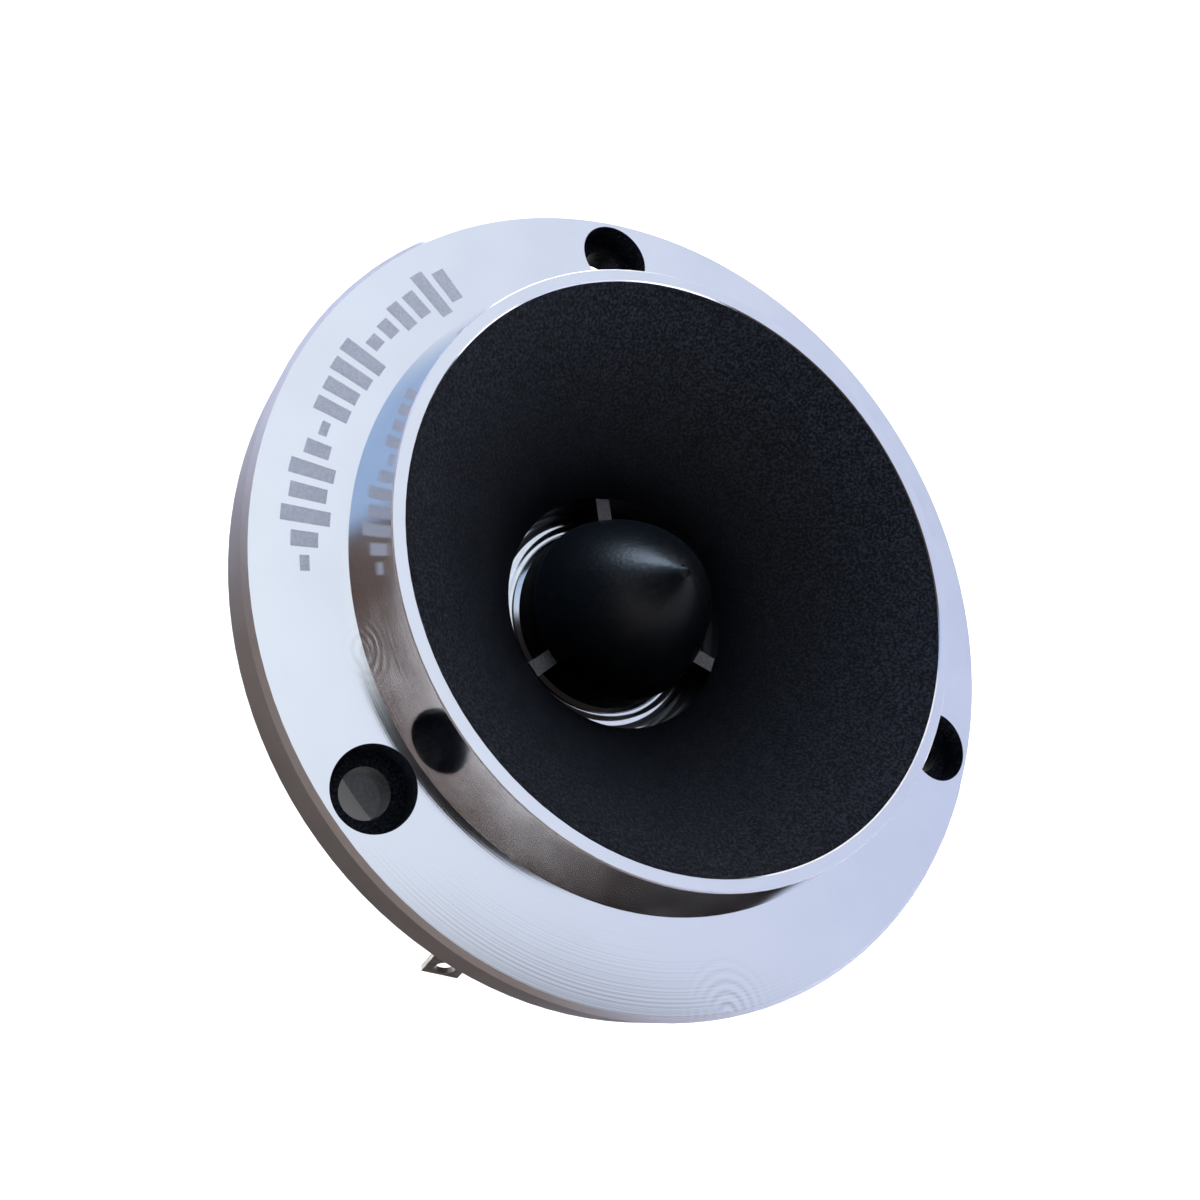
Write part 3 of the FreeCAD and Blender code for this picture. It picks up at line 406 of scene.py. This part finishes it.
foil_finish, tree, shader = new_finish("bright_foil", Metallic=1.0, Roughness=0.12)
creases = speckle(tree, 1.6 * MM, 4.0)
tree.links.new(mottled(tree, creases, (0.80, 0.80, 0.82), (0.90, 0.90, 0.91)),
               shader.inputs["Base Color"])
bumps(tree, shader, creases, 0.005 * MM)
for name in ("diaphragm_dome", "voice_coil_former"):
    cad[name].material_slots[0].material = foil_finish

across = np.linspace(0.0, 1.0, 49)
fall = across - step_softness * np.sin(4.0 * pi * across) / (4.0 * pi)
radii = np.concatenate([dome_radius + (surround_radius - dome_radius) * across,
                        np.linspace(surround_radius, clamp_radius, 9)[1:]])
heights = np.concatenate([dome_edge + (clamp_level - dome_edge) * fall, np.full(8, clamp_level)])
surround = turned("surround_foil", radii, heights, steps=240)
wall = surround.modifiers.new("foil", "SOLIDIFY")
wall.thickness, wall.offset = foil, -1.0
surround.data.materials.append(foil_finish)
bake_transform(surround)
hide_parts("diaphragm_surround")

coil_inner, coil_outer = 12.55 * MM, 12.9 * MM
coil_foot, coil_head, coil_turns = -16.9 * MM, -13.7 * MM, 22
turn_depth = 0.08 * MM
rise = np.linspace(0.0, 1.0, coil_turns * 8 + 1)
radii = np.concatenate([[coil_inner + 0.01 * MM],
                        coil_outer - turn_depth + turn_depth * np.abs(np.sin(pi * coil_turns * rise)),
                        [coil_inner + 0.01 * MM]])
heights = np.concatenate([[coil_foot], coil_foot + (coil_head - coil_foot) * rise, [coil_head]])
winding = turned("coil_turns", radii, heights, steps=160, closed=True)
copper, tree, shader = new_finish("copper_wire", Metallic=1.0, Roughness=0.28,
                                  Coat_Weight=0.6, Coat_Roughness=0.12)
tree.links.new(mottled(tree, speckle(tree, 0.4 * MM, 2.0, (0.2, 0.2, 1.0)),
                    (0.70, 0.27, 0.10), (0.86, 0.42, 0.20)), shader.inputs["Base Color"])
winding.data.materials.append(copper)
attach(winding, "diaphragm")
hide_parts("voice_coil_winding")

moulded, tree, shader = new_finish("moulded_black", Roughness=0.55)
pebbles = speckle(tree, 0.28 * MM, 3.0)
tree.links.new(mottled(tree, speckle(tree, 6.0 * MM), (0.012, 0.012, 0.013), (0.02, 0.02, 0.021)),
               shader.inputs["Base Color"])
bumps(tree, shader, pebbles, 0.02 * MM)
for name in ("diaphragm_frame", "rear_cover"):
    cad[name].material_slots[0].material = moulded


# ---- Motor ----------------------------------------------------------------------------------------
# A ferrite ring between two zinc plated steel plates, a steel pole with a copper cap, and a felt pad
# on the pole's end. The ferrite is ground top and bottom and left as fired round its edge.

steel, tree, shader = new_finish("plated_steel", Metallic=1.0)
wear = speckle(tree, 3.0 * MM, 5.0)
tree.links.new(mottled(tree, wear, (0.52, 0.52, 0.53), (0.66, 0.66, 0.66)),
               shader.inputs["Base Color"])
tree.links.new(spread(tree, wear, 0.28, 0.45), shader.inputs["Roughness"])
bumps(tree, shader, speckle(tree, 0.15 * MM, 2.0), 0.003 * MM)
for name in ("pole_piece", "top_plate", "back_plate", "pole_bolt", "cover_screws", "horn_screws",
             "bullet_screw", "terminal_board_screw"):
    cad[name].material_slots[0].material = steel

ferrite, tree, shader = new_finish("ferrite", Roughness=0.7)
fired = speckle(tree, 0.6 * MM, 6.0)
tree.links.new(mottled(tree, fired, (0.022, 0.021, 0.022), (0.055, 0.053, 0.055)),
               shader.inputs["Base Color"])
bumps(tree, shader, fired, 0.04 * MM)
cad["magnet"].material_slots[0].material = ferrite
cad["pole_cap"].material_slots[0].material = copper

felt, tree, shader = new_finish("grey_felt", Roughness=1.0, Sheen_Weight=0.4)
fibres = speckle(tree, 0.18 * MM, 5.0, (1.0, 0.35, 1.0))
tree.links.new(tint(tree, fibres, (0.05, 0.05, 0.052), (0.16, 0.16, 0.165)), shader.inputs["Base Color"])
bumps(tree, shader, fibres, 0.1 * MM)
cad["damping_pad"].material_slots[0].material = felt

brass, tree, shader = new_finish("bare_brass", Metallic=1.0, Roughness=0.3)
tree.links.new(mottled(tree, speckle(tree, 0.8 * MM, 4.0), (0.66, 0.48, 0.20), (0.80, 0.62, 0.30)),
               shader.inputs["Base Color"])
for name in ("locating_pins", "terminal_rivets"):
    cad[name].material_slots[0].material = brass


# ---- Terminal board and lugs ----------------------------------------------------------------------
# Two tinned brass lugs, dulled by handling, are riveted to a brown paper-phenolic board at the edge.

phenolic, tree, shader = new_finish("paper_phenolic", Roughness=0.38)
layers = speckle(tree, 0.5 * MM, 5.0, (1.0, 1.0, 0.25))
tree.links.new(mottled(tree, layers, (0.115, 0.045, 0.018), (0.20, 0.085, 0.035)),
               shader.inputs["Base Color"])
bumps(tree, shader, layers, 0.006 * MM)
cad["terminal_board"].material_slots[0].material = phenolic

tinned, tree, shader = new_finish("dull_tin", Metallic=1.0)
handling = speckle(tree, 1.2 * MM, 5.0)
tree.links.new(mottled(tree, handling, (0.36, 0.33, 0.29), (0.60, 0.57, 0.53)),
               shader.inputs["Base Color"])
tree.links.new(spread(tree, handling, 0.5, 0.3), shader.inputs["Roughness"])
bumps(tree, shader, handling, 0.008 * MM)
for name in ("terminal_positive", "terminal_negative",
             "frame_contact_positive", "frame_contact_negative"):
    cad[name].material_slots[0].material = tinned


# ---- Lead-outs ------------------------------------------------------------------------------------
# Two flat tinned ribbons run from the coil's former down to the frame's contacts, at the board's side.
# Each drops in one soft curve.

board_side = radians(251.0)
lead_inner, lead_outer, lead_width, lead_apart = 12.55 * MM, 14.5 * MM, 1.2 * MM, 5.0 * MM
lead_head, lead_foot, ribbon_thickness = -11.2 * MM, -11.55 * MM, 0.15 * MM

run = np.linspace(0.0, 1.0, 33)[:, None]
width = np.linspace(-0.5, 0.5, 7)[None, :]
drop = 0.5 * (1.0 - np.cos(pi * np.clip((run - 0.08) / 0.54, 0.0, 1.0)))
for word, side in (("positive", 0.5), ("negative", -0.5)):
    outward, sideways = np.broadcast_arrays(lead_inner + (lead_outer - lead_inner) * run,
                                            side * lead_apart + lead_width * width)
    ribbon = grid_mesh("lead_ribbon_" + word, np.stack([
        outward * cos(board_side) - sideways * sin(board_side),
        outward * sin(board_side) + sideways * cos(board_side),
        lead_head + (lead_foot - lead_head) * np.broadcast_to(drop, outward.shape)], axis=-1))
    body = ribbon.modifiers.new("thickness", "SOLIDIFY")
    body.thickness, body.offset = ribbon_thickness, -1.0
    ribbon.data.materials.append(tinned)
    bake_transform(ribbon)
    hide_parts("lead_out_" + word)


# ---- Hookup wires ---------------------------------------------------------------------------------
# Two short insulated wires, red for positive and black for negative, run from contact to rivet.

for word, dark, light in (("positive", (0.30, 0.012, 0.010), (0.42, 0.02, 0.015)),
                          ("negative", (0.008, 0.008, 0.008), (0.018, 0.018, 0.018))):
    sleeve, tree, shader = new_finish("sleeve_" + word, Roughness=0.35)
    tree.links.new(mottled(tree, speckle(tree, 0.5 * MM), dark, light),
                   shader.inputs["Base Color"])
    bumps(tree, shader, speckle(tree, 0.3 * MM), 0.01 * MM)
    cad["hookup_wire_" + word].material_slots[0].material = sleeve
